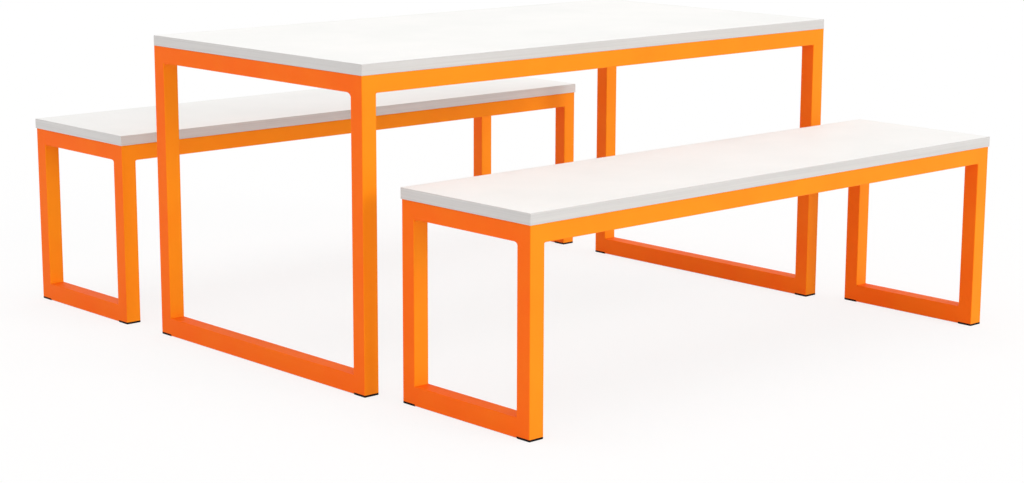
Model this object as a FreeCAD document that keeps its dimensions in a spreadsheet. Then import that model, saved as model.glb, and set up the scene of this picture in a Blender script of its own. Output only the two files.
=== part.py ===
import FreeCAD, Part
import Sketcher
import os

# Canteen table with two free-standing benches, in millimetres.
#
# The table and the two benches are built the same way. A square tube frame carries a flat board. Two
# closed hoops stand across the ends, each of two legs, an end rail under the board and a floor rail.
# Two long side rails under the board join the hoops. The board is screwed to flat tabs that are welded
# inside the side rails, and each leg ends in a black plastic foot.
#
# X runs along the table from the left end to the right end, -Y is the front side and Z is up. The
# origin lies on the floor at the middle of the box round all three units.

V = FreeCAD.Vector
Rotation = FreeCAD.Rotation

SIZES = {
    # table and benches: board sizes and heights above the floor
    "table_length": 1550,
    "table_width": 800,
    "table_height": 740,
    "bench_length": 1570,
    "bench_width": 410,
    "bench_height": 480,
    "bench_overhang": 2,
    # where the benches stand: gap between board edges, and shift along the table
    "front_bench_gap": 85,
    "rear_bench_gap": 135,
    "front_bench_shift": 45,
    "rear_bench_shift": -5,
    # boards and their edge strips
    "board_thickness": 25,
    "strip_thickness": 2,
    "strip_edge_radius": 1,
    # tubes: side, wall and outer corner radius
    "tube_side": 40,
    "tube_wall": 2,
    "tube_corner_radius": 2,
    # floor rails: height of the section, and how far the rail hangs above the floor
    "floor_rail_height": 44,
    "floor_rail_clearance": 1,
    # feet: square flange under the leg and a hollow finned spigot inside it
    "foot_thickness": 5,
    "foot_edge_chamfer": 0.8,
    "foot_spigot_depth": 24,
    "foot_spigot_wall": 3,
    "foot_fin_reach": 1.2,
    "foot_fin_thickness": 1.5,
    "foot_fin_pitch": 6.5,
    "foot_clearance": 0.1,
    # fixing tabs and their holes
    "tab_length": 30,
    "tab_reach": 26,
    "tab_thickness": 3,
    "tab_hole_diameter": 5.6,
    "tab_hole_distance": 15,
    "tab_end_distance": 120,
    # wood screws, and the pilot holes they go into
    "screw_diameter": 5,
    "screw_length": 20,
    "screw_point_length": 5,
    "screw_head_diameter": 9.6,
    "screw_head_top_diameter": 7.2,
    "screw_head_height": 2.8,
    "screw_recess_length": 4.6,
    "screw_recess_width": 0.9,
    "screw_recess_depth": 1.6,
    "pilot_clearance": 0.1,
    "pilot_spare_depth": 1,
    # fillet welds in the inner corners of the frames
    "table_hoop_weld": 14,
    "bench_hoop_weld": 10,
    "side_rail_weld": 4,
    "floor_rail_weld": 3,
    "weld_toe": 0.3,
}

# A tube or prism is drawn along its own Z. These turn it to run along X or Y, with its section upright.
UPRIGHT = Rotation()
ALONG_X = Rotation(V(1, 1, 1), 120)    # own X, Y, Z go to Y, Z, X
ALONG_Y = Rotation(V(1, 1, 1), 240)    # own X, Y, Z go to Z, X, Y
# An edge strip is drawn facing the front. This turns it to face the left end.
FACING_LEFT = Rotation(V(0, 0, 1), -90)
# A weld bead is drawn upright, and fills an inner corner that opens towards +X and +Y. These turn it
# to lie under a rail, behind a leg or to the right of it, or to stand where a corner opens elsewhere.
UNDER_AND_BEHIND = Rotation(V(0, 1, 0), 90)    # own X, Y, Z go to -Z, Y, X
UNDER_AND_RIGHT = Rotation(V(1, 0, 0), -90)    # own X, Y, Z go to X, -Z, Y
RIGHT_AND_FRONT = Rotation(V(0, 0, 1), -90)
LEFT_AND_REAR = Rotation(V(0, 0, 1), 90)
LEFT_AND_FRONT = Rotation(V(0, 0, 1), 180)

doc = FreeCAD.newDocument("canteen_table_set")
sub_parts = []


def make_sheet():
    sheet = doc.addObject("Spreadsheet::Sheet", "Sizes")
    for row, (name, value) in enumerate(SIZES.items(), start=1):
        sheet.set("A%d" % row, name)
        sheet.set("B%d" % row, str(value))
        sheet.setAlias("B%d" % row, name)
    doc.recompute()


def size(name):
    return "Sizes." + name


def plus(*terms):
    return " + ".join("(%s)" % term for term in terms)


def minus(first, *rest):
    return "(%s)" % first + "".join(" - (%s)" % term for term in rest)


def half(term):
    return "(%s) / 2" % term


def negative(term):
    return "-(%s)" % term


def place(item, at, rotation=UPRIGHT):
    """Turns an object and ties each coordinate of its place to an expression."""
    item.Placement = FreeCAD.Placement(V(0, 0, 0), rotation)
    for axis, expression in zip("xyz", at):
        item.setExpression("Placement.Base." + axis, expression)
    return item


def keep(item, name):
    """Marks a finished sub-part: its label names its file."""
    item.Label = name
    sub_parts.append(item)
    return item


# ---------------------------------------------------------------- building blocks

def box(name, lengths, at, rotation=UPRIGHT):
    item = doc.addObject("Part::Box", name)
    for side, expression in zip(("Length", "Width", "Height"), lengths):
        item.setExpression(side, expression)
    return place(item, at, rotation)


def cylinder(name, radius, height, at):
    item = doc.addObject("Part::Cylinder", name)
    item.setExpression("Radius", radius)
    item.setExpression("Height", height)
    return place(item, at)


def cone(name, lower_radius, upper_radius, height, at):
    item = doc.addObject("Part::Cone", name)
    item.setExpression("Radius1", lower_radius)
    item.setExpression("Radius2", upper_radius)
    item.setExpression("Height", height)
    return place(item, at)


def cut(name, base, tool):
    item = doc.addObject("Part::Cut", name)
    item.Base = base
    item.Tool = tool
    return item


def fuse(name, items):
    item = doc.addObject("Part::MultiFuse", name)
    item.Shapes = items
    return item


def group(name, items):
    item = doc.addObject("Part::Compound", name)
    item.Links = items
    return item


def mirrored(item, name, normal):
    """The item together with its mirror image across a middle plane of its unit."""
    image = doc.addObject("Part::Mirroring", name + "_image")
    image.Source = item
    image.Base = V(0, 0, 0)
    image.Normal = normal
    return group(name, [item, image])


def in_four_corners(items, name):
    """Items made in one quarter of a unit, mirrored into the other three."""
    quarter = group(name + "_quarter", items)
    across = mirrored(quarter, name + "_half", V(1, 0, 0))
    return mirrored(across, name, V(0, 1, 0))


def sketch_on_base(body, name, lift="0"):
    """A sketch on the body's own base plane, or lifted above it."""
    sketch = body.newObject("Sketcher::SketchObject", name)
    planes = [item for item in body.Origin.OriginFeatures if item.Role == "XY_Plane"]
    sketch.AttachmentSupport = [(planes[0], "")]
    sketch.MapMode = "FlatFace"
    sketch.setExpression("AttachmentOffset.Base.z", lift)
    return sketch


def draw_rectangle(sketch, name, left, front, width, depth):
    """A closed rectangle, its corner and sides tied to expressions.

    It is drawn as a square of any side, and its constraints then give it its size and place."""
    first = sketch.GeometryCount
    side = 10.0
    corners = [V(0, 0, 0), V(side, 0, 0), V(side, side, 0), V(0, side, 0)]
    for index, corner in enumerate(corners):
        sketch.addGeometry(Part.LineSegment(corner, corners[(index + 1) % 4]), False)
    for index in range(4):
        following = first + (index + 1) % 4
        sketch.addConstraint(Sketcher.Constraint("Coincident", first + index, 2, following, 1))
    for index in (0, 2):
        sketch.addConstraint(Sketcher.Constraint("Horizontal", first + index))
        sketch.addConstraint(Sketcher.Constraint("Vertical", first + index + 1))
    measures = [
        ("left", "DistanceX", (-1, 1, first, 1), left),
        ("front", "DistanceY", (-1, 1, first, 1), front),
        ("width", "DistanceX", (first, 1, first, 2), width),
        ("depth", "DistanceY", (first + 1, 1, first + 1, 2), depth),
    ]
    for label, kind, points, expression in measures:
        index = sketch.addConstraint(Sketcher.Constraint(kind, *points, side))
        sketch.renameConstraint(index, name + "_" + label)
        sketch.setExpression("Constraints.%s_%s" % (name, label), expression)


def pad(body, sketch, name, length):
    item = body.newObject("PartDesign::Pad", name)
    item.Profile = sketch
    item.setExpression("Length", length)
    return item


def edges_where(feature, test):
    """Names of the feature's edges whose middle passes the test, given the feature's box."""
    shape = feature.Shape
    names = []
    for index, edge in enumerate(shape.Edges, start=1):
        if test(edge, edge.CenterOfMass, shape.BoundBox):
            names.append("Edge%d" % index)
    return names


def near(first, second, tolerance=0.001):
    return abs(first - second) < tolerance


def round_edges(body, feature, name, test, radius, kind="Fillet"):
    doc.recompute()
    item = body.newObject("PartDesign::" + kind, name)
    item.Base = (feature, edges_where(feature, test))
    item.setExpression("Radius" if kind == "Fillet" else "Size", radius)
    return item


def is_outer_long_edge(edge, middle, around):
    """True for the four edges that run the whole length of a bar, on its outside."""
    return (near(edge.BoundBox.ZLength, around.ZLength)
            and (near(middle.x, around.XMin) or near(middle.x, around.XMax))
            and (near(middle.y, around.YMin) or near(middle.y, around.YMax)))


# ---------------------------------------------------------------- pieces of one unit

def make_tube(name, first_side, second_side, length, at, rotation):
    """Square or rectangular steel tube, rounded along its four outer edges."""
    body = doc.addObject("PartDesign::Body", name)
    wall = size("tube_wall")
    section = sketch_on_base(body, name + "_section")
    draw_rectangle(section, "outside", "0", "0", first_side, second_side)
    bore_first = minus(first_side, wall, wall)
    bore_second = minus(second_side, wall, wall)
    draw_rectangle(section, "bore", wall, wall, bore_first, bore_second)
    bar = pad(body, section, name + "_bar", length)
    round_edges(body, bar, name + "_corners", is_outer_long_edge, size("tube_corner_radius"))
    return keep(place(body, at, rotation), name)


def make_foot(name, at):
    """Moulded foot: a square flange under the leg and a hollow spigot with fins inside it."""
    body = doc.addObject("PartDesign::Body", name)
    side = size("tube_side")
    fin_margin = plus(size("tube_wall"), size("foot_clearance"))
    core_margin = plus(fin_margin, size("foot_fin_reach"))
    hollow_margin = plus(core_margin, size("foot_spigot_wall"))

    def square(suffix, margin, lift="0"):
        sketch = sketch_on_base(body, name + suffix, lift)
        across = minus(side, margin, margin)
        draw_rectangle(sketch, "square", margin, margin, across, across)
        return sketch

    flange = pad(body, square("_flange_outline", "0"), name + "_flange", size("foot_thickness"))
    rounded = round_edges(body, flange, name + "_corners", is_outer_long_edge,
                          size("tube_corner_radius"))
    chamfered = round_edges(body, rounded, name + "_lower_edge",
                            lambda edge, middle, around: near(edge.BoundBox.ZMax, around.ZMin),
                            size("foot_edge_chamfer"), "Chamfer")
    body.Tip = chamfered
    top = size("foot_thickness")
    pad(body, square("_spigot_outline", core_margin, top), name + "_spigot", size("foot_spigot_depth"))
    fin_lift = plus(top, size("foot_fin_pitch"))
    fin = pad(body, square("_fin_outline", fin_margin, fin_lift), name + "_fin",
              size("foot_fin_thickness"))
    fins = body.newObject("PartDesign::LinearPattern", name + "_fins")
    fins.Originals = [fin]
    axes = [item for item in body.Origin.OriginFeatures if item.Role == "Z_Axis"]
    fins.Direction = (axes[0], [""])
    fin_count = 3
    fins.Occurrences = fin_count
    fins.setExpression("Length", "%d * %s" % (fin_count - 1, size("foot_fin_pitch")))
    body.Tip = fins
    hollow = body.newObject("PartDesign::Pocket", name + "_hollow")
    hollow.Profile = square("_hollow_outline", hollow_margin, top)
    hollow.Reversed = True
    hollow.setExpression("Length", size("foot_spigot_depth"))
    return keep(place(body, at), name)


def make_board(unit):
    """Melamine-faced board with blind pilot holes in its underside."""
    name = unit["name"] + "_board"
    strip = size("strip_thickness")
    length = minus(unit["board_length"], strip, strip)
    width = minus(unit["board_width"], strip, strip)
    slab = box(name + "_slab", (length, width, size("board_thickness")),
               (negative(half(length)), negative(half(width)), unit["board_bottom"]))
    radius = plus(half(size("screw_diameter")), size("pilot_clearance"))
    depth = plus(minus(size("screw_length"), size("tab_thickness")), size("pilot_spare_depth"))
    holes = []
    for index, (x, y) in enumerate(unit["tab_holes"]):
        holes.append(cylinder("%s_pilot_%d" % (name, index), radius, depth,
                              (x, y, unit["board_bottom"])))
    board = cut(name, slab, in_four_corners(holes, name + "_pilots"))
    return keep(place(board, unit["centre"]), name)


def make_strip(name, length, overlaps_ends):
    """One edge strip, drawn with its outer face on y = 0, with rounded outer edges."""
    body = doc.addObject("PartDesign::Body", name)
    outline = sketch_on_base(body, name + "_outline")
    draw_rectangle(outline, "strip", negative(half(length)), "0", length, size("strip_thickness"))
    bar = pad(body, outline, name + "_bar", size("board_thickness"))

    def is_outer(edge, middle, around):
        on_face = near(edge.BoundBox.YMax, around.YMin)
        at_end = near(edge.BoundBox.XMax, around.XMin) or near(edge.BoundBox.XMin, around.XMax)
        level = near(edge.BoundBox.ZLength, 0)
        if overlaps_ends:
            return on_face or (at_end and level)
        return on_face and level

    round_edges(body, bar, name + "_rounding", is_outer, size("strip_edge_radius"))
    return body


def make_edge_banding(unit):
    """Four strips glued round the board: the long ones cover the ends of the short ones."""
    name = unit["name"] + "_edge_banding"
    strip = size("strip_thickness")
    long_strip = make_strip(name + "_long", unit["board_length"], True)
    place(long_strip, ("0", negative(half(unit["board_width"])), unit["board_bottom"]))
    short_strip = make_strip(name + "_short", minus(unit["board_width"], strip, strip), False)
    place(short_strip, (negative(half(unit["board_length"])), "0", unit["board_bottom"]),
          FACING_LEFT)
    pair_long = mirrored(long_strip, name + "_pair_long", V(0, 1, 0))
    pair_short = mirrored(short_strip, name + "_pair_short", V(1, 0, 0))
    return keep(place(group(name, [pair_long, pair_short]), unit["centre"]), name)


def make_fixing_tabs(unit):
    """Flat tabs with a hole, welded flush with the top of the side rails, on their inner side."""
    name = unit["name"] + "_fixing_tabs"
    bottom = minus(unit["board_bottom"], size("tab_thickness"))
    tabs = []
    for index, (x, y) in enumerate(unit["tab_holes"]):
        label = "%s_%d" % (name, index)
        corner = (minus(x, half(size("tab_length"))), unit["side_rail_inner_face"], bottom)
        plate = box(label + "_plate", (size("tab_length"), size("tab_reach"), size("tab_thickness")),
                    corner)
        hole = cylinder(label + "_hole", half(size("tab_hole_diameter")), size("tab_thickness"),
                        (x, y, bottom))
        tabs.append(cut(label, plate, hole))
    return keep(place(in_four_corners(tabs, name), unit["centre"]), name)


def make_screws(unit):
    """Wood screws with a tapered head and a cross recess, driven up through the tabs."""
    name = unit["name"] + "_screws"
    seat = minus(unit["board_bottom"], size("tab_thickness"))
    head_bottom = minus(seat, size("screw_head_height"))
    radius = half(size("screw_diameter"))
    screws = []
    for index, (x, y) in enumerate(unit["tab_holes"]):
        label = "%s_%d" % (name, index)
        head = cone(label + "_head", half(size("screw_head_top_diameter")),
                    half(size("screw_head_diameter")), size("screw_head_height"), (x, y, head_bottom))
        shank_length = minus(size("screw_length"), size("screw_point_length"))
        shank = cylinder(label + "_shank", radius, shank_length, (x, y, seat))
        point = cone(label + "_point", radius, "0", size("screw_point_length"),
                     (x, y, plus(seat, shank_length)))
        arm = size("screw_recess_length")
        slot = size("screw_recess_width")
        bars = []
        for way, (along, across) in {"x": (arm, slot), "y": (slot, arm)}.items():
            corner = (minus(x, half(along)), minus(y, half(across)), head_bottom)
            bars.append(box(label + "_recess_" + way, (along, across, size("screw_recess_depth")),
                            corner))
        solid = fuse(label + "_solid", [head, shank, point])
        screws.append(cut(label, solid, fuse(label + "_recess", bars)))
    return keep(place(in_four_corners(screws, name), unit["centre"]), name)


def concave_bead(name, leg, toe, length, at, rotation):
    """A bar that fills an inner corner: two flat sides at right angles and a hollow round face.

    It is drawn with its corner on its own Z axis. The hollow face comes to within toe of each side."""
    block = box(name + "_block", (leg, leg, length), ("0", "0", "0"))
    hollow = cylinder(name + "_hollow", minus(leg, toe), length, (leg, leg, "0"))
    return place(cut(name, block, hollow), at, rotation)


def make_welds(unit):
    """Fillet welds in the inner corners, and seams filled flush where a rail butts on a leg.

    They are made at the front left leg and mirrored. A seam bead fills the groove that the rounded
    edge of the leg leaves beside the end of a rail."""
    name = unit["name"] + "_welds"
    corner_radius = size("tube_corner_radius")
    left = negative(half(unit["frame_length"]))
    front = negative(half(unit["frame_width"]))
    leg_right = plus(left, size("tube_side"))
    leg_rear = plus(front, size("tube_side"))
    flat_width = minus(size("tube_side"), corner_radius, corner_radius)
    rail_bottom = minus(unit["board_bottom"], size("tube_side"))
    floor_rail_top = plus(size("floor_rail_clearance"), size("floor_rail_height"))
    toe = size("weld_toe")
    beads = [
        concave_bead(name + "_hoop", unit["hoop_weld"], toe, flat_width,
                     (plus(left, corner_radius), leg_rear, rail_bottom), UNDER_AND_BEHIND),
        concave_bead(name + "_side", size("side_rail_weld"), toe, flat_width,
                     (leg_right, plus(front, corner_radius), rail_bottom), UNDER_AND_RIGHT),
        concave_bead(name + "_floor", size("floor_rail_weld"), toe, flat_width,
                     (plus(left, corner_radius), leg_rear, floor_rail_top), ALONG_X),
    ]
    upper = (plus(rail_bottom, corner_radius), minus(unit["board_bottom"], corner_radius))
    lower = (size("foot_thickness"), minus(floor_rail_top, corner_radius))
    seams = [
        ("upper_outer", left, leg_rear, upper, RIGHT_AND_FRONT),
        ("upper_front", leg_right, front, upper, LEFT_AND_REAR),
        ("upper_inner", leg_right, leg_rear, upper, LEFT_AND_FRONT),
        ("lower_outer", left, leg_rear, lower, RIGHT_AND_FRONT),
        ("lower_inner", leg_right, leg_rear, lower, LEFT_AND_FRONT),
    ]
    for label, x, y, (bottom, top), corner in seams:
        beads.append(concave_bead("%s_%s" % (name, label), corner_radius, "0", minus(top, bottom),
                                  (x, y, bottom), corner))
    return keep(place(in_four_corners(beads, name), unit["centre"]), name)


def make_frame(unit):
    """Legs and rails as separate tubes that meet face to face, and the feet."""
    name = unit["name"]
    side = size("tube_side")
    centre_x, centre_y, floor = unit["centre"]
    left = minus(centre_x, half(unit["frame_length"]))
    right = minus(plus(centre_x, half(unit["frame_length"])), side)
    front = minus(centre_y, half(unit["frame_width"]))
    rear = minus(plus(centre_y, half(unit["frame_width"])), side)
    columns = {"left": left, "right": right}
    rows = {"front": front, "rear": rear}
    leg_length = minus(unit["board_bottom"], size("foot_thickness"))
    for row, y in rows.items():
        for column, x in columns.items():
            make_tube("%s_leg_%s_%s" % (name, row, column), side, side, leg_length,
                      (x, y, size("foot_thickness")), UPRIGHT)
            make_foot("%s_foot_%s_%s" % (name, row, column), (x, y, floor))
    rail_bottom = minus(unit["board_bottom"], side)
    between_rows = minus(unit["frame_width"], side, side)
    between_columns = minus(unit["frame_length"], side, side)
    for column, x in columns.items():
        make_tube("%s_end_rail_%s" % (name, column), side, side, between_rows,
                  (x, plus(front, side), rail_bottom), ALONG_Y)
        make_tube("%s_floor_rail_%s" % (name, column), size("floor_rail_height"), side,
                  between_rows, (x, plus(front, side), size("floor_rail_clearance")), ALONG_Y)
    for row, y in rows.items():
        make_tube("%s_side_rail_%s" % (name, row), side, side, between_columns,
                  (plus(left, side), y, rail_bottom), ALONG_X)


# ---------------------------------------------------------------- the three units

def describe_unit(name, kind, centre, overhang, hoop_weld):
    """The expressions that place and size one unit. All but centre count from the unit's middle."""
    unit = {
        "name": name,
        "centre": centre,
        "board_length": size(kind + "_length"),
        "board_width": size(kind + "_width"),
        "board_bottom": minus(size(kind + "_height"), size("board_thickness")),
        "frame_length": minus(size(kind + "_length"), overhang, overhang),
        "frame_width": minus(size(kind + "_width"), overhang, overhang),
        "hoop_weld": hoop_weld,
    }
    inner_face = minus(size("tube_side"), half(unit["frame_width"]))
    outer_tab = minus(size("tab_end_distance"), minus(half(unit["frame_length"]), size("tube_side")))
    hole_line = plus(inner_face, size("tab_hole_distance"))
    # A rail has four tabs, evenly apart, so the inner ones stand a third as far out as the outer ones.
    unit["side_rail_inner_face"] = inner_face
    unit["tab_holes"] = [(outer_tab, hole_line), ("(%s) / 3" % outer_tab, hole_line)]
    return unit


def lay_out_units():
    """Centres of the units, so that the origin is the middle of the box round all of them."""
    half_table = half(size("table_length"))
    half_bench = half(size("bench_length"))
    shifts = [size("front_bench_shift"), size("rear_bench_shift")]
    left_ends = [negative(half_table)] + [minus(shift, half_bench) for shift in shifts]
    right_ends = [half_table] + [plus(shift, half_bench) for shift in shifts]
    middle_x = half("min(%s) + max(%s)" % ("; ".join(left_ends), "; ".join(right_ends)))
    middle_y = half(minus(size("rear_bench_gap"), size("front_bench_gap")))
    row_distance = plus(half(size("table_width")), half(size("bench_width")))
    front_y = negative(plus(row_distance, size("front_bench_gap"), middle_y))
    rear_y = minus(plus(row_distance, size("rear_bench_gap")), middle_y)
    return {
        "table": (negative(middle_x), negative(middle_y), "0"),
        "front_bench": (minus(shifts[0], middle_x), front_y, "0"),
        "rear_bench": (minus(shifts[1], middle_x), rear_y, "0"),
    }


make_sheet()
centres = lay_out_units()
flush = "0"    # the table top ends in line with its frame, and a seat stands a little beyond its own
overhang = size("bench_overhang")
units = [
    describe_unit("table", "table", centres["table"], flush, size("table_hoop_weld")),
    describe_unit("front_bench", "bench", centres["front_bench"], overhang, size("bench_hoop_weld")),
    describe_unit("rear_bench", "bench", centres["rear_bench"], overhang, size("bench_hoop_weld")),
]
for unit in units:
    make_board(unit)
    make_edge_banding(unit)
    make_frame(unit)
    make_fixing_tabs(unit)
    make_screws(unit)
    make_welds(unit)
doc.recompute()

# ---------------------------------------------------------------- check and write

for item in doc.Objects:
    if "Invalid" in item.State or "Error" in item.State:
        raise RuntimeError("%s is %s" % (item.Label, item.State))
for item in sub_parts:
    if item.Shape.isNull() or not item.Shape.isValid() or not item.Shape.Solids:
        raise RuntimeError("%s has no valid solid" % item.Label)

os.makedirs("parts", exist_ok=True)
for item in sub_parts:
    item.Shape.exportStep("parts/%s.step" % item.Label)
    box_round = item.Shape.BoundBox
    print("%-32s solids %2d volume %11.1f  x %8.1f %8.1f  y %8.1f %8.1f  z %6.1f %6.1f" % (
        item.Label, len(item.Shape.Solids), item.Shape.Volume, box_round.XMin, box_round.XMax,
        box_round.YMin, box_round.YMax, box_round.ZMin, box_round.ZMax))
print(len(sub_parts), "sub-parts")
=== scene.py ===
import math

import bpy
from mathutils import Matrix, Vector

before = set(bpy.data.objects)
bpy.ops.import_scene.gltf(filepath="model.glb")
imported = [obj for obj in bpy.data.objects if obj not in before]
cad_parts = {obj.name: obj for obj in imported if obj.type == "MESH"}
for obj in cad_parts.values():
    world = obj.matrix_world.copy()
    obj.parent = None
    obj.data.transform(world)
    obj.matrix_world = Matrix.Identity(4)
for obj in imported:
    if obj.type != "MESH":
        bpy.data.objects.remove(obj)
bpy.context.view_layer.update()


# ---------------------------------------------------------------- steel tubes
# The frames are welded from square steel tube, 40 mm across and 2 mm thick, cut square and butted.
# Once the welds were ground, each frame was blasted and sprayed with orange polyester powder, and
# baked at about 200 degrees until the powder flowed into one smooth coat.

def linear(shade):
    """An sRGB hex colour as linear red, green, blue and alpha."""
    channels = [int(shade[at:at + 2], 16) / 255 for at in (1, 3, 5)]
    return [c / 12.92 if c <= 0.04045 else ((c + 0.055) / 1.055) ** 2.4 for c in channels] + [1.0]


def add_node(owner, kind, inputs=(), feeds=None, **settings):
    """Adds a node with its settings. An input is a value or a link, and it may feed a socket."""
    tree = owner.node_tree
    node = tree.nodes.new("ShaderNode" + kind)
    for name, value in settings.items():
        setattr(node, name, value)
    for name, value in dict(inputs).items():
        if isinstance(value, bpy.types.NodeSocket):
            tree.links.new(value, node.inputs[name])
        else:
            node.inputs[name].default_value = value
    if feeds:
        tree.links.new(node.outputs[0], feeds)
    return node


def start_material(name, **sockets):
    """A material with one Principled shader, and the sockets that are the same all over it."""
    material = bpy.data.materials.new(name)
    material.use_nodes = True
    shader = material.node_tree.nodes["Principled BSDF"]
    for socket, value in sockets.items():
        shader.inputs[socket.replace("_", " ")].default_value = value
    return material, shader


def dress(endings, material):
    """Gives the material to the solids with these endings in all three units."""
    for unit in ("table", "front_bench", "rear_bench"):
        for ending in endings:
            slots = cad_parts[unit + "_" + ending].data.materials
            slots.clear()
            slots.append(material)


def per_metre(millimetres):
    """The scale at which a texture repeats once in so many millimetres."""
    return 1000 / millimetres


def cure_powder(name, lump_width, lump_height):
    """Orange powder coat whose lumps have that width and height, in millimetres."""
    drift_width = 120
    drift_share = 0.35
    painted_light_share = 0.65
    coat, shader = start_material(name, IOR=1.5, Specular_IOR_Level=0.13)
    place = add_node(coat, "TexCoord").outputs
    # Painted light: the faces along Y, the long faces, are drawn yellower and lighter than the
    # rest.
    facing = add_node(coat, "SeparateXYZ", {"Vector": place["Normal"]}).outputs["Y"]
    painted_light_mask = add_node(coat, "Math", {0: facing}, operation="ABSOLUTE").outputs[0]
    drift = add_node(coat, "TexNoise", {
        "Vector": place["Object"], "Scale": per_metre(drift_width), "Detail": 3.0}).outputs["Fac"]
    drift = add_node(coat, "Math", {0: drift, 1: drift_share}, operation="MULTIPLY").outputs[0]
    # This mix carries the real drift of film thickness and the painted light on the long faces.
    drift_and_painted_light = add_node(coat, "Math", {
        0: painted_light_mask, 1: painted_light_share, 2: drift}, operation="MULTIPLY_ADD").outputs[0]
    orange = add_node(coat, "ValToRGB", {"Fac": drift_and_painted_light}, shader.inputs["Base Color"])
    orange.color_ramp.elements[0].color = linear("#F65E01")
    orange.color_ramp.elements[1].color = linear("#F6920B")
    peel = add_node(coat, "TexNoise", {
        "Vector": place["Object"], "Scale": per_metre(lump_width), "Detail": 1.0}).outputs["Fac"]
    add_node(coat, "MapRange", {
        "Value": peel, "To Min": 0.5, "To Max": 0.62}, shader.inputs["Roughness"])
    add_node(coat, "Bump", {
        "Height": peel, "Strength": 1.0, "Distance": lump_height / 1000}, shader.inputs["Normal"])
    return coat


# Baked polyester powder is a clean, deep orange with a satin gloss. It drifts a little with the
# film's thickness. The long faces are painted a shade yellower and lighter than the ends: that is
# painted light, the look of faces lit from the front. The shallow lumps called orange peel are 2
# to 3 mm wide, and are drawn 9 mm wide so that they show.
powder_coat = cure_powder("polyester_powder_coat_sprayed", lump_width=9, lump_height=0.1)
dress(["leg_front_left", "leg_front_right", "leg_rear_left", "leg_rear_right",
       "end_rail_left", "end_rail_right", "floor_rail_left", "floor_rail_right",
       "side_rail_front", "side_rail_rear"], powder_coat)


# ---------------------------------------------------------------- welds and tabs
# Fillet welds fill the inner corners of each frame, and the seams on the outside were filled and
# ground flush. Flat steel tabs for the board's screws are welded inside the long rails. All of this
# went through the powder line with the frame.

# The same coat over a hand-run bead: its ripples, about 4 mm apart, still show through the film.
coated_weld = cure_powder("polyester_powder_coat_over_weld", lump_width=4, lump_height=0.3)
dress(["welds"], coated_weld)
dress(["fixing_tabs"], powder_coat)


# ---------------------------------------------------------------- feet
# A foot is one moulding of black polyethylene, pressed into the end of a leg. Only its square
# flange shows, 5 mm thick, which keeps the steel off the floor.

# Moulded polyethylene is a deep black with a dull, waxy sheen. The mould was spark eroded, which
# gave it a grain of about 0.2 mm, drawn 1.5 mm wide.
grain_width = 1.5
grain_height = 0.1
black_plastic, shader = start_material("polyethylene_moulded", IOR=1.5, Specular_IOR_Level=0.1)
place = add_node(black_plastic, "TexCoord").outputs["Object"]
grain = add_node(black_plastic, "TexNoise", {
    "Vector": place, "Scale": per_metre(grain_width), "Detail": 2.0}).outputs["Fac"]
black = add_node(black_plastic, "ValToRGB", {"Fac": grain}, shader.inputs["Base Color"])
black.color_ramp.elements[0].color = linear("#050505")
black.color_ramp.elements[1].color = linear("#0C0C0D")
add_node(black_plastic, "MapRange", {
    "Value": grain, "To Min": 0.5, "To Max": 0.65}, shader.inputs["Roughness"])
add_node(black_plastic, "Bump", {
    "Height": grain, "Strength": 0.5, "Distance": grain_height / 1000}, shader.inputs["Normal"])
dress(["foot_front_left", "foot_front_right", "foot_rear_left", "foot_rear_right"], black_plastic)


# ---------------------------------------------------------------- boards
# The table top and the seats are 25 mm chipboard, pressed on both faces with white melamine paper.
# Each board lies flat on its frame's upper rails, and is screwed down from below.

# Melamine paper is a hard, even white. The press plate left it a pearled face, with a grain of
# about 1 mm drawn 3 mm wide, which breaks up reflections. The chips below it telegraph faintly.
cloud_width = 300
pearl_width = 3
pearl_height = 0.1
melamine, shader = start_material("melamine_faced_chipboard", IOR=1.5, Specular_IOR_Level=0.35)
place = add_node(melamine, "TexCoord").outputs["Object"]
cloud = add_node(melamine, "TexNoise", {
    "Vector": place, "Scale": per_metre(cloud_width), "Detail": 4.0,
    "Roughness": 0.6}).outputs["Fac"]
white = add_node(melamine, "ValToRGB", {"Fac": cloud}, shader.inputs["Base Color"])
white.color_ramp.elements[0].position = 0.3
white.color_ramp.elements[0].color = linear("#EBEBE9")
white.color_ramp.elements[1].position = 0.7
white.color_ramp.elements[1].color = linear("#F1F0EE")
pearl = add_node(melamine, "TexNoise", {
    "Vector": place, "Scale": per_metre(pearl_width), "Detail": 2.0}).outputs["Fac"]
add_node(melamine, "MapRange", {
    "Value": pearl, "To Min": 0.5, "To Max": 0.68}, shader.inputs["Roughness"])
add_node(melamine, "Bump", {
    "Height": pearl, "Strength": 0.5, "Distance": pearl_height / 1000}, shader.inputs["Normal"])
dress(["board"], melamine)


# ---------------------------------------------------------------- edge strips
# Each board has a 2 mm strip of pale grey ABS glued to its four sides. Its outer edges were milled
# to a 1 mm radius and scraped smooth.

# Extruded ABS with a clear lacquer is an even grey under a satin gloss. The die left it lines that
# run along the strip, well under 1 mm apart and drawn 4 mm apart.
line_length = 400
line_spacing = 4
edge_strip, shader = start_material(
    "abs_strip_extruded", IOR=1.54, Coat_Weight=1.0, Coat_Roughness=0.3, Coat_IOR=1.5)
place = add_node(edge_strip, "TexCoord").outputs["Object"]
drawn = add_node(edge_strip, "Mapping", {
    "Vector": place,
    "Scale": (per_metre(line_length), per_metre(line_length), per_metre(line_spacing))})
lines = add_node(edge_strip, "TexNoise", {
    "Vector": drawn.outputs["Vector"], "Scale": 1.0, "Detail": 2.0}).outputs["Fac"]
grey = add_node(edge_strip, "ValToRGB", {"Fac": lines}, shader.inputs["Base Color"])
grey.color_ramp.elements[0].position = 0.3
grey.color_ramp.elements[0].color = linear("#BEBCBA")
grey.color_ramp.elements[1].position = 0.7
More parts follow.
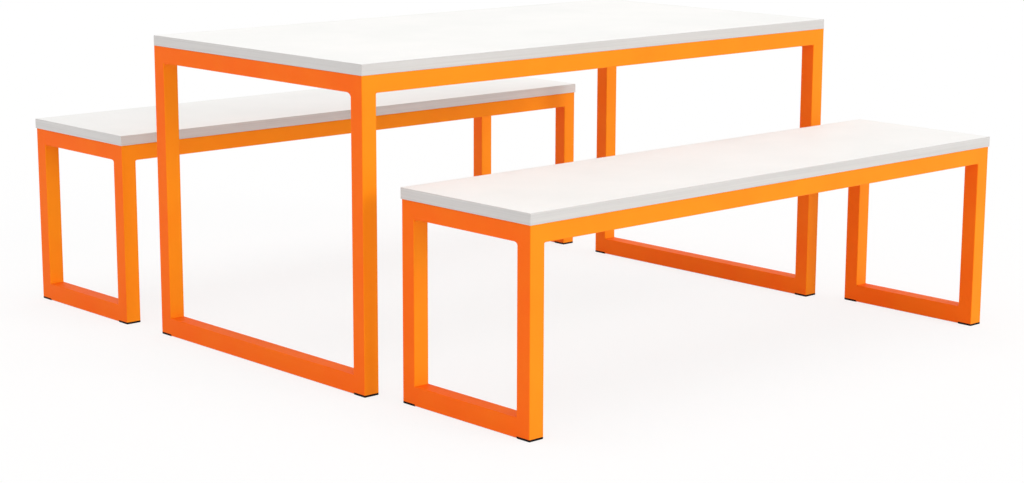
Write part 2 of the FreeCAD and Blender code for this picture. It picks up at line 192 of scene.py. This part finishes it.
grey.color_ramp.elements[1].color = linear("#C8C6C4")
add_node(edge_strip, "MapRange", {
    "Value": lines, "To Min": 0.35, "To Max": 0.45}, shader.inputs["Roughness"])
dress(["edge_banding"], edge_strip)


# ---------------------------------------------------------------- screws
# Wood screws, 5 mm thick and 20 mm long, with a tapered head and a cross recess. They are formed of
# zinc-plated steel, and hold each board down through the tabs under it.

# Bright zinc plate is a bluish silver, and its gloss changes a little over every 2 mm or so.
patch_width = 2
zinc, shader = start_material("zinc_plated_steel", Metallic=1.0)
place = add_node(zinc, "TexCoord").outputs["Object"]
plate = add_node(zinc, "TexNoise", {
    "Vector": place, "Scale": per_metre(patch_width), "Detail": 2.0}).outputs["Fac"]
silver = add_node(zinc, "ValToRGB", {"Fac": plate}, shader.inputs["Base Color"])
silver.color_ramp.elements[0].color = linear("#B9BDC1")
silver.color_ramp.elements[1].color = linear("#D2D5D8")
add_node(zinc, "MapRange", {
    "Value": plate, "To Min": 0.22, "To Max": 0.38}, shader.inputs["Roughness"])
dress(["screws"], zinc)


# ---------------------------------------------------------------- studio
# A pale floor runs on to a white sky, which gives most of the light. A wide soft card hangs
# overhead, a softbox stands low in front, and a weaker card stands to the left of that.

# The painted floor shows four fifths of plain white to the camera alone. The rest is lit, which
# keeps the shadows.
white_floor, shader = start_material("studio_floor_painted", Roughness=0.9, Specular_IOR_Level=0.0)
shader.inputs["Base Color"].default_value = linear("#F4F4F4")
plain_share = 0.8
path = add_node(white_floor, "LightPath").outputs
share = add_node(white_floor, "Math", {
    0: path["Is Camera Ray"], 1: plain_share}, operation="MULTIPLY")
glow = add_node(white_floor, "Emission", {"Color": linear("#FFFFFF"), "Strength": 1.0})
surface = white_floor.node_tree.nodes["Material Output"].inputs["Surface"]
add_node(white_floor, "MixShader", {0: share.outputs[0], 1: shader.outputs[0], 2: glow.outputs[0]},
         surface)
half_floor = 40.0
mesh = bpy.data.meshes.new("studio_floor")
mesh.from_pydata([(-half_floor, -half_floor, 0), (half_floor, -half_floor, 0),
                  (half_floor, half_floor, 0), (-half_floor, half_floor, 0)], [], [(0, 1, 2, 3)])
mesh.materials.append(white_floor)
floor = bpy.data.objects.new("studio_floor", mesh)
bpy.context.scene.collection.objects.link(floor)

# The sky lights the object more from the horizon than from overhead, so that the tops keep their
# shade. The camera and reflections see plain white all over it.
sky_at_horizon = 1.08
sky_overhead = 0.42
world = bpy.data.worlds.new("white_sky")
bpy.context.scene.world = world
world.use_nodes = True
sky = world.node_tree.nodes["Background"]
sky.inputs["Color"].default_value = linear("#FFFFFF")
path = add_node(world, "LightPath").outputs
seen = add_node(world, "Math", {
    0: path["Is Camera Ray"], 1: path["Is Glossy Ray"]}, operation="MAXIMUM")
seen = add_node(world, "Math", {
    0: seen.outputs[0], 1: path["Is Transmission Ray"]}, operation="MAXIMUM")
direction = add_node(world, "TexCoord").outputs["Generated"]
height = add_node(world, "SeparateXYZ", {"Vector": direction}).outputs["Z"]
light = add_node(world, "MapRange", {
    "Value": height, "To Min": sky_at_horizon, "To Max": sky_overhead})
add_node(world, "Mix", {"Factor": seen.outputs[0], "A": light.outputs["Result"], "B": 1.0},
         sky.inputs["Strength"])


def add_soft_sun(name, direction, level, spread, shade):
    """A lamp from that direction that gives a surface facing it that level of light.

    A level of 1 shows white as white. The spread, in degrees, is as wide as the card looks."""
    lamp = bpy.data.lights.new(name, "SUN")
    lamp.energy = level * math.pi
    lamp.angle = math.radians(spread)
    lamp.color = linear(shade)[:3]
    light = bpy.data.objects.new(name, lamp)
    bpy.context.scene.collection.objects.link(light)
    light.rotation_euler = Vector(direction).to_track_quat("Z", "Y").to_euler()


add_soft_sun("front_softbox", (0.35, -0.89, 0.29), level=0.28, spread=25, shade="#FFFDF8")
add_soft_sun("camera_side_card", (-0.6, -0.7, 0.35), level=0.10, spread=40, shade="#FFF4EE")
add_soft_sun("overhead_card", (0.0, 0.0, 1.0), level=0.36, spread=60, shade="#FFFFFF")

# The camera stands 5.5 m from the middle of the row and 1.3 m above the floor, and looks down a
# little across the near end and the front.
camera_place = (-3.68496, -4.04047, 1.28434)
yaw, pitch, roll = math.radians(42.650), math.radians(11.389), math.radians(0.209)
ahead = Vector((math.sin(yaw) * math.cos(pitch), math.cos(yaw) * math.cos(pitch), -math.sin(pitch)))
level_right = Vector((math.cos(yaw), -math.sin(yaw), 0))
level_up = level_right.cross(ahead)
right = level_right * math.cos(roll) + level_up * math.sin(roll)
up = level_up * math.cos(roll) - level_right * math.sin(roll)
camera_data = bpy.data.cameras.new("camera")
camera_data.sensor_width = 36.0
camera_data.lens = 76.001
camera_data.clip_end = 100.0
camera = bpy.data.objects.new("camera", camera_data)
camera.matrix_world = (Matrix.Translation(camera_place)
                       @ Matrix((right, up, -ahead)).transposed().to_4x4())
bpy.context.scene.collection.objects.link(camera)
bpy.context.scene.camera = camera
bpy.context.scene.view_settings.view_transform = "Standard"
